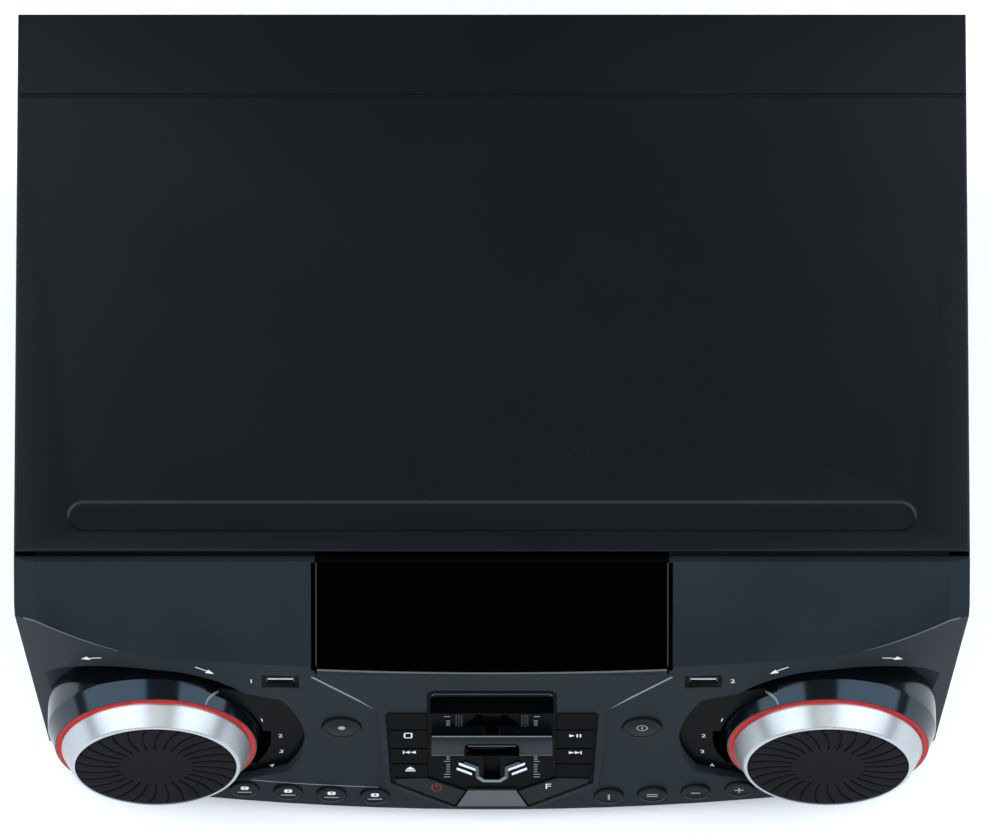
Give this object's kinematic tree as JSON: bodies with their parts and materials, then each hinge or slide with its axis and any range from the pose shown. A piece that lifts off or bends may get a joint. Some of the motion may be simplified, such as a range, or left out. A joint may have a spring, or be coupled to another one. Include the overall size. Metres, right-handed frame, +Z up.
{
  "type": "mini hi-fi system head unit",
  "caption": "Wide dark head unit with a sloping display, a hidden disc tray, two large turning jog dials, a sliding lever, press keys and pads, and sockets at the back.",
  "frame": {"origin": "on the table, under the middle of the overall footprint", "axes": "+X to the right seen from the front, +Y to the back, +Z up"},
  "size_m": [0.45, 0.3518, 0.175],
  "materials": {
    "painted_steel": "dark blue-grey painted sheet steel, fine satin",
    "zinc_steel": "zinc-plated sheet steel",
    "black_steel": "black painted sheet steel",
    "fascia_plastic": "dark blue-grey moulded plastic, satin",
    "window_plastic": "black tinted acrylic, polished",
    "gloss_black": "piano-black moulded plastic",
    "key_plastic": "black moulded keys, semi-gloss",
    "button_plastic": "black moulded buttons, satin",
    "silver_metal": "satin turned aluminium",
    "chrome_trim": "bright plated trim",
    "steel_shaft": "turned steel",
    "dial_rubber": "black moulded rubber with curved grooves",
    "foot_rubber": "black rubber",
    "red_light": "red light-guide plastic",
    "black_plastic": "black moulded plastic",
    "gear_plastic": "natural acetal",
    "port_metal": "stamped steel shell with plastic tongue",
    "board_laminate": "green circuit board with its parts",
    "sink_metal": "extruded aluminium"
  },
  "bodies": {
    "unit": {"top_cover": "painted_steel", "bottom_chassis": "zinc_steel", "rear_panel": "black_steel", "front_fascia": "fascia_plastic", "display_lens": "window_plastic", "control_panel": "gloss_black", "crescent_panel_left": "gloss_black", "crescent_panel_right": "gloss_black", "dial_collars": "gloss_black", "nose_plate": "silver_metal", "chrome_chevrons": "chrome_trim", "rubber_feet": "foot_rubber", "light_rings": "red_light", "lever_guide": "black_plastic", "loader_frame": "black_plastic", "dial_encoders": "black_plastic", "rear_jacks": "black_plastic", "power_inlet": "black_plastic", "speaker_terminals": "black_plastic", "usb_ports": "port_metal", "display_board": "board_laminate", "key_board": "board_laminate", "main_board": "board_laminate", "power_supply": "board_laminate", "heat_sink": "sink_metal"},
    "dial_left": {"dial_ring_left": "silver_metal", "dial_pad_left": "dial_rubber", "dial_shaft_left": "steel_shaft"},
    "dial_right": {"dial_ring_right": "silver_metal", "dial_pad_right": "dial_rubber", "dial_shaft_right": "steel_shaft"},
    "lever": {"lever_bar": "silver_metal", "lever_label": "gloss_black", "lever_stem": "black_plastic"},
    "tray": {"disc_tray": "black_plastic", "tray_door": "window_plastic"},
    "gear": {"tray_gear": "gear_plastic"},
    "spindle": {"spindle_hub": "black_plastic"},
    "pickup": {"optical_pickup": "zinc_steel"},
    "key_left_1_body": {"key_left_1": "key_plastic"},
    "key_left_2_body": {"key_left_2": "key_plastic"},
    "key_left_3_body": {"key_left_3": "key_plastic"},
    "key_left_4_body": {"key_left_4": "key_plastic"},
    "key_right_1_body": {"key_right_1": "key_plastic"},
    "key_right_2_body": {"key_right_2": "key_plastic"},
    "key_right_3_body": {"key_right_3": "key_plastic"},
    "key_right_4_body": {"key_right_4": "key_plastic"},
    "power_key_body": {"power_key": "key_plastic"},
    "function_key_body": {"function_key": "key_plastic"},
    "round_button_left_body": {"round_button_left": "button_plastic"},
    "round_button_right_body": {"round_button_right": "button_plastic"},
    "pad_left_1_body": {"pad_left_1": "button_plastic"},
    "pad_left_2_body": {"pad_left_2": "button_plastic"},
    "pad_left_3_body": {"pad_left_3": "button_plastic"},
    "pad_left_4_body": {"pad_left_4": "button_plastic"},
    "pad_right_1_body": {"pad_right_1": "button_plastic"},
    "pad_right_2_body": {"pad_right_2": "button_plastic"},
    "pad_right_3_body": {"pad_right_3": "button_plastic"},
    "pad_right_4_body": {"pad_right_4": "button_plastic"}
  },
  "joints": [
    {"name": "dial_left_spin", "type": "hinge", "parent": "unit", "child": "dial_left", "pos_m": [-0.159, -0.16334, 0.07], "axis": [0, -0.9982, 0.0593], "continuous": true},
    {"name": "dial_right_spin", "type": "hinge", "parent": "unit", "child": "dial_right", "pos_m": [0.159, -0.16334, 0.07], "axis": [0, -0.9982, 0.0593], "continuous": true},
    {"name": "lever_slide", "type": "slide", "parent": "unit", "child": "lever", "axis": [0, 0.1037, 0.9946], "range_m": [-0.012, 0.016], "stiffness_N_per_m": 300},
    {"name": "tray_slide", "type": "slide", "parent": "unit", "child": "tray", "axis": [0, -1, 0], "range_m": [0, 0.125]},
    {"name": "gear_spin", "type": "hinge", "parent": "unit", "child": "gear", "pos_m": [0.0746, -0.10914, 0.1436], "axis": [0, 0, 1], "range_deg": [0, 676]},
    {"name": "spindle_spin", "type": "hinge", "parent": "unit", "child": "spindle", "pos_m": [0, -0.08714, 0.1436], "axis": [0, 0, 1], "continuous": true},
    {"name": "pickup_slide", "type": "slide", "parent": "unit", "child": "pickup", "axis": [0, 1, 0], "range_m": [-0.007, 0.03]},
    {"name": "key_left_1_press", "type": "slide", "parent": "unit", "child": "key_left_1_body", "axis": [0, 0.9946, -0.1037], "range_m": [0, 0.0008], "stiffness_N_per_m": 800},
    {"name": "key_left_2_press", "type": "slide", "parent": "unit", "child": "key_left_2_body", "axis": [0, 0.9946, -0.1037], "range_m": [0, 0.0008], "stiffness_N_per_m": 800},
    {"name": "key_left_3_press", "type": "slide", "parent": "unit", "child": "key_left_3_body", "axis": [0, 0.9946, -0.1037], "range_m": [0, 0.0008], "stiffness_N_per_m": 800},
    {"name": "key_left_4_press", "type": "slide", "parent": "unit", "child": "key_left_4_body", "axis": [0, 0.9946, -0.1037], "range_m": [0, 0.0008], "stiffness_N_per_m": 800},
    {"name": "key_right_1_press", "type": "slide", "parent": "unit", "child": "key_right_1_body", "axis": [0, 0.9946, -0.1037], "range_m": [0, 0.0008], "stiffness_N_per_m": 800},
    {"name": "key_right_2_press", "type": "slide", "parent": "unit", "child": "key_right_2_body", "axis": [0, 0.9946, -0.1037], "range_m": [0, 0.0008], "stiffness_N_per_m": 800},
    {"name": "key_right_3_press", "type": "slide", "parent": "unit", "child": "key_right_3_body", "axis": [0, 0.9946, -0.1037], "range_m": [0, 0.0008], "stiffness_N_per_m": 800},
    {"name": "key_right_4_press", "type": "slide", "parent": "unit", "child": "key_right_4_body", "axis": [0, 0.9946, -0.1037], "range_m": [0, 0.0008], "stiffness_N_per_m": 800},
    {"name": "power_key_press", "type": "slide", "parent": "unit", "child": "power_key_body", "axis": [0, 0.9946, -0.1037], "range_m": [0, 0.0008], "stiffness_N_per_m": 800},
    {"name": "function_key_press", "type": "slide", "parent": "unit", "child": "function_key_body", "axis": [0, 0.9946, -0.1037], "range_m": [0, 0.0008], "stiffness_N_per_m": 800},
    {"name": "round_button_left_press", "type": "slide", "parent": "unit", "child": "round_button_left_body", "axis": [0, 0.9953, -0.0973], "range_m": [0, 0.0008], "stiffness_N_per_m": 800},
    {"name": "round_button_right_press", "type": "slide", "parent": "unit", "child": "round_button_right_body", "axis": [0, 0.9953, -0.0973], "range_m": [0, 0.0008], "stiffness_N_per_m": 800},
    {"name": "pad_left_1_press", "type": "slide", "parent": "unit", "child": "pad_left_1_body", "axis": [0, 0.9951, -0.0988], "range_m": [0, 0.0008], "stiffness_N_per_m": 800},
    {"name": "pad_left_2_press", "type": "slide", "parent": "unit", "child": "pad_left_2_body", "axis": [0, 0.9955, -0.0945], "range_m": [0, 0.0008], "stiffness_N_per_m": 800},
    {"name": "pad_left_3_press", "type": "slide", "parent": "unit", "child": "pad_left_3_body", "axis": [0, 0.9961, -0.0887], "range_m": [0, 0.0008], "stiffness_N_per_m": 800},
    {"name": "pad_left_4_press", "type": "slide", "parent": "unit", "child": "pad_left_4_body", "axis": [0, 0.9967, -0.0816], "range_m": [0, 0.0008], "stiffness_N_per_m": 800},
    {"name": "pad_right_1_press", "type": "slide", "parent": "unit", "child": "pad_right_1_body", "axis": [0, 0.9951, -0.0988], "range_m": [0, 0.0008], "stiffness_N_per_m": 800},
    {"name": "pad_right_2_press", "type": "slide", "parent": "unit", "child": "pad_right_2_body", "axis": [0, 0.9955, -0.0945], "range_m": [0, 0.0008], "stiffness_N_per_m": 800},
    {"name": "pad_right_3_press", "type": "slide", "parent": "unit", "child": "pad_right_3_body", "axis": [0, 0.9961, -0.0887], "range_m": [0, 0.0008], "stiffness_N_per_m": 800},
    {"name": "pad_right_4_press", "type": "slide", "parent": "unit", "child": "pad_right_4_body", "axis": [0, 0.9967, -0.0816], "range_m": [0, 0.0008], "stiffness_N_per_m": 800}
  ],
  "couplings": [
    {"joint": "gear_spin", "follows": "tray_slide", "rad_per_m": 92.593}
  ]
}
